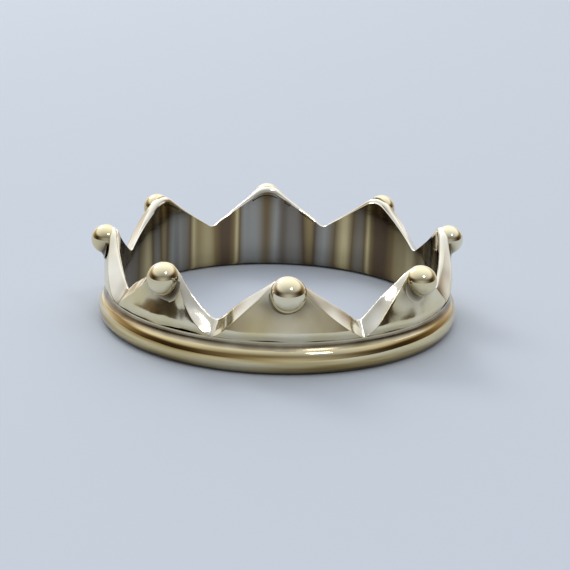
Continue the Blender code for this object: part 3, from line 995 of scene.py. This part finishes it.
# %% Solder round the lower part of a ball
BALL_SOLDER_LEG = 0.36 * MM
BALL_SOLDER_END_LEG = 0.12 * MM
BALL_SOLDER_SWEEP = math.radians(180)
BALL_SOLDER_SHADE = 1.0
BALL_SOLDER_STEPS = 48
FACE_TRIES = 4
SOLDER_WAVE = {"Wave Size": 0.6 * MM, "Wave Depth": 0.008 * MM, "Seed": 2.0}


def face_below_seat(across, up_face):
    """How far the bowed face lies from the plane of the seat, negative towards the finger hole."""
    depth = 0.0
    for _ in range(FACE_TRIES):
        spot = seat_frame() @ Vector((across, up_face, depth))
        depth -= math.hypot(spot.x, spot.y) - outer_radius(spot.z)
    return depth


def ball_solder_section(turn):
    """Outline of the solder at an angle round the ball, counted from straight down."""
    share = abs(turn) / (BALL_SOLDER_SWEEP / 2)
    leg = BALL_SOLDER_END_LEG + (BALL_SOLDER_LEG - BALL_SOLDER_END_LEG) * math.cos(share * math.pi / 2)
    direction = Vector((math.sin(turn), -math.cos(turn), 0))

    def at(radius, above_face):
        spot = direction * radius
        spot.z = face_below_seat(spot.x, spot.y) + above_face
        return spot

    on_face = at(BALL_RADIUS + leg, -SOLDER_TUCK)
    on_ball = at(BALL_RADIUS, leg)
    above_centre = on_ball.z - BALL_STANDOFF
    on_ball += direction * (math.sqrt(BALL_RADIUS**2 - above_centre**2) - SOLDER_TUCK - BALL_RADIUS)
    hidden = [at(BALL_RADIUS - leg, 0), at(BALL_RADIUS - leg, -leg)]
    return [*hidden, *hollow_fillet(on_face, at(BALL_RADIUS, 0), on_ball)]


sweep = [BALL_SOLDER_SWEEP * (step / BALL_SOLDER_STEPS - 0.5) for step in range(BALL_SOLDER_STEPS + 1)]
fillet = skin([ball_solder_section(turn) for turn in sweep], False, BALL_SOLDER_SHADE, "one_fillet")
fillet.transform(seat_frame())
follow = fillet.attributes.new("inwards", "FLOAT", "POINT")
for corner, value in zip(fillet.vertices, follow.data):
    value.value = lean_in(outer_radius(corner.co.z), corner.co.z) - BALL_GROWTH / 2 * BALL_RADIUS
fillet.transform(Matrix.Translation(-ball_anchor))
ball_solder = grow("solder_under_balls", repeat_tree("solder_round_band", TIPS_OFF, solder_gold), {
    "Copies": POINT_COUNT, "Anchor": ball_anchor, "Front Growth": BALL_GROWTH,
    "Merge Distance": MERGE_DISTANCE,
    **SOLDER_WAVE,
}, fillet)
keep(ball_solder, "gold_solder", *BALL_SOLDER_NODES)

# %% [markdown]
# The floor.
# The ring stands on a plain, pale, matt board. A mirror would double the ring, so the board has little
# shine.

# %% Lay the floor
FLOOR_GREY = "#C4CBD6"
FLOOR_ROUGHNESS = 0.7
FLOOR_SHINE = 0.2
FLOOR_SIZE = 1.2
FLOOR_DROP = 0.02 * MM


def pale_floor():
    material = bpy.data.materials.new("matt_pale_board")
    material.use_nodes = True
    shader = material.node_tree.nodes["Principled BSDF"]
    shader.inputs["Base Color"].default_value = linear(FLOOR_GREY)
    shader.inputs["Roughness"].default_value = FLOOR_ROUGHNESS
    shader.inputs["Specular IOR Level"].default_value = FLOOR_SHINE
    shape = bmesh.new()
    bmesh.ops.create_grid(shape, x_segments=1, y_segments=1, size=FLOOR_SIZE / 2)
    bmesh.ops.translate(shape, verts=shape.verts, vec=(0, 0, -FLOOR_DROP))
    mesh = bpy.data.meshes.new("floor")
    shape.to_mesh(mesh)
    shape.free()
    mesh.materials.append(material)
    floor = bpy.data.objects.new("floor", mesh)
    bpy.context.scene.collection.objects.link(floor)
    return floor


pale_floor()
print("floor is", FLOOR_SIZE, "m wide")

# %% [markdown]
# The lamps.
# Polished metal is a picture of its surroundings, so the lamps are chosen for what the ring sees. One soft
# box stands behind on the left and lights the slopes, and a small one in front on the right makes the
# glints.

# %% Hang the lamps
LAMP_WHITE = "#FFFDF8"
LAMP_DISTANCE = 0.40


def soft_box(name, azimuth, elevation, distance, width, height, power, colour):
    """A rectangular lamp that looks at the ring from an azimuth counted from the front, and an elevation."""
    lamp = bpy.data.lights.new(name, "AREA")
    lamp.shape = "RECTANGLE"
    lamp.size = width
    lamp.size_y = height
    lamp.energy = power
    lamp.color = linear(colour)[:3]
    a = math.radians(azimuth)
    e = math.radians(elevation)
    away = Vector((math.sin(a) * math.cos(e), -math.cos(a) * math.cos(e), math.sin(e)))
    holder = bpy.data.objects.new(name, lamp)
    holder.location = away * distance
    holder.rotation_euler = away.to_track_quat("Z", "Y").to_euler()
    bpy.context.scene.collection.objects.link(holder)


soft_box("key_box", azimuth=-150, elevation=40, distance=LAMP_DISTANCE,
         width=0.14, height=0.14, power=0.35, colour=LAMP_WHITE)
soft_box("glint_box", azimuth=30, elevation=52, distance=LAMP_DISTANCE,
         width=0.07, height=0.07, power=0.12, colour=LAMP_WHITE)
print("lamps:", len(bpy.data.lights))

# %% [markdown]
# The room.
# The rest of what the ring mirrors is a plain room: dim brown walls at the sides, which give the faces
# their shade, brighter walls in front and behind, and a pale ceiling that is brighter towards the back. A
# picture of a studio could stand there, but a few levels along the axes give the same broad shapes.

# %% The room
SIDE_LEVEL = 0.13
FRONT_LEVEL = 0.55
BACK_LEVEL = 1.5
CEILING_LEVEL = 0.85
ZENITH_LIFT = 0.3
CEILING_TILT = 0.75
ROOM_WHITE = "#F3F7FC"
SIDE_BROWN = "#CDB088"
CEILING_FROM = math.sin(math.radians(16))
CEILING_TO = math.sin(math.radians(36))

world = bpy.data.worlds.new("soft_room")
world.use_nodes = True
bpy.context.scene.world = world
room = world.node_tree
away = add_node(room, "ShaderNodeTexCoord").outputs["Generated"]
axes = add_node(room, "ShaderNodeSeparateXYZ", {0: away}).outputs
tilt = (BACK_LEVEL - FRONT_LEVEL) / 2
bend = (BACK_LEVEL + FRONT_LEVEL) / 2 - SIDE_LEVEL
rise = add_node(room, "ShaderNodeMath", {
    0: axes["Y"], 1: bend, 2: tilt,
}, operation="MULTIPLY_ADD").outputs[0]
walls = add_node(room, "ShaderNodeMath", {
    0: axes["Y"], 1: rise, 2: SIDE_LEVEL,
}, operation="MULTIPLY_ADD").outputs[0]
lift = add_node(room, "ShaderNodeMath", {0: axes["Z"], 1: ZENITH_LIFT}, operation="MULTIPLY").outputs[0]
overhead = add_node(room, "ShaderNodeMath", {
    0: axes["Z"], 1: lift, 2: CEILING_LEVEL,
}, operation="MULTIPLY_ADD").outputs[0]
ceiling = add_node(room, "ShaderNodeMath", {
    0: axes["Y"], 1: CEILING_TILT, 2: overhead,
}, operation="MULTIPLY_ADD").outputs[0]
over = add_node(room, "ShaderNodeMapRange", {
    "Value": axes["Z"], "From Min": CEILING_FROM, "From Max": CEILING_TO,
}, interpolation_type="SMOOTHSTEP").outputs[0]
level = add_node(room, "ShaderNodeMix", {0: over, 2: walls, 3: ceiling}).outputs[0]
ahead = add_node(room, "ShaderNodeMath", {0: axes["Y"], 1: axes["Y"]}, operation="MULTIPLY").outputs[0]
white = add_node(room, "ShaderNodeMath", {0: ahead, 1: over}, operation="MAXIMUM").outputs[0]
colour = add_node(room, "ShaderNodeMix", {
    "Factor": white, 6: linear(SIDE_BROWN), 7: linear(ROOM_WHITE),
}, data_type="RGBA").outputs[2]
backdrop = room.nodes["Background"]
room.links.new(colour, backdrop.inputs["Color"])
room.links.new(level, backdrop.inputs["Strength"])
print("room level", SIDE_LEVEL, "at the sides,", BACK_LEVEL, "behind and", CEILING_LEVEL, "above")

# %% [markdown]
# The camera.
# It stands about 80 mm in front of the ring and looks down at about 19 degrees, a close-up with a long
# lens. It was held a little crooked, so the ring leans by a degree and a half in the picture.

# %% Set the camera
VIEW_AZIMUTH = math.radians(-5.0)
VIEW_ELEVATION = math.radians(18.87)
VIEW_DISTANCE = 79.3 * MM
VIEW_ROLL = math.radians(-1.52)
LENS_MM = 89.94
SENSOR_MM = 36.0
RING_CENTRE = Vector((0, 0, 0.27 * MM))
CENTRE_RIGHT_OF_RING = 0.43 * MM
CENTRE_ABOVE_RING = 1.21 * MM

back = Vector((
    math.sin(VIEW_AZIMUTH) * math.cos(VIEW_ELEVATION),
    -math.cos(VIEW_AZIMUTH) * math.cos(VIEW_ELEVATION),
    math.sin(VIEW_ELEVATION),
))
level_right = Vector((0, 0, 1)).cross(back).normalized()
level_up = back.cross(level_right)
right = level_right * math.cos(VIEW_ROLL) - level_up * math.sin(VIEW_ROLL)
up = level_right * math.sin(VIEW_ROLL) + level_up * math.cos(VIEW_ROLL)
stand = RING_CENTRE + back * VIEW_DISTANCE
aim = RING_CENTRE + right * CENTRE_RIGHT_OF_RING + up * CENTRE_ABOVE_RING
axis = (stand - aim).normalized()
across = up.cross(axis).normalized()
turn = Matrix((across, axis.cross(across), axis)).transposed()

lens = bpy.data.cameras.new("close_up")
lens.lens = LENS_MM
lens.sensor_width = SENSOR_MM
lens.clip_start = 1 * MM
camera = bpy.data.objects.new("close_up", lens)
camera.matrix_world = Matrix.Translation(stand) @ turn.to_4x4()
bpy.context.scene.collection.objects.link(camera)
bpy.context.scene.camera = camera
bpy.context.scene.view_settings.view_transform = "Standard"
print("camera at", [round(value / MM, 2) for value in stand], "mm")
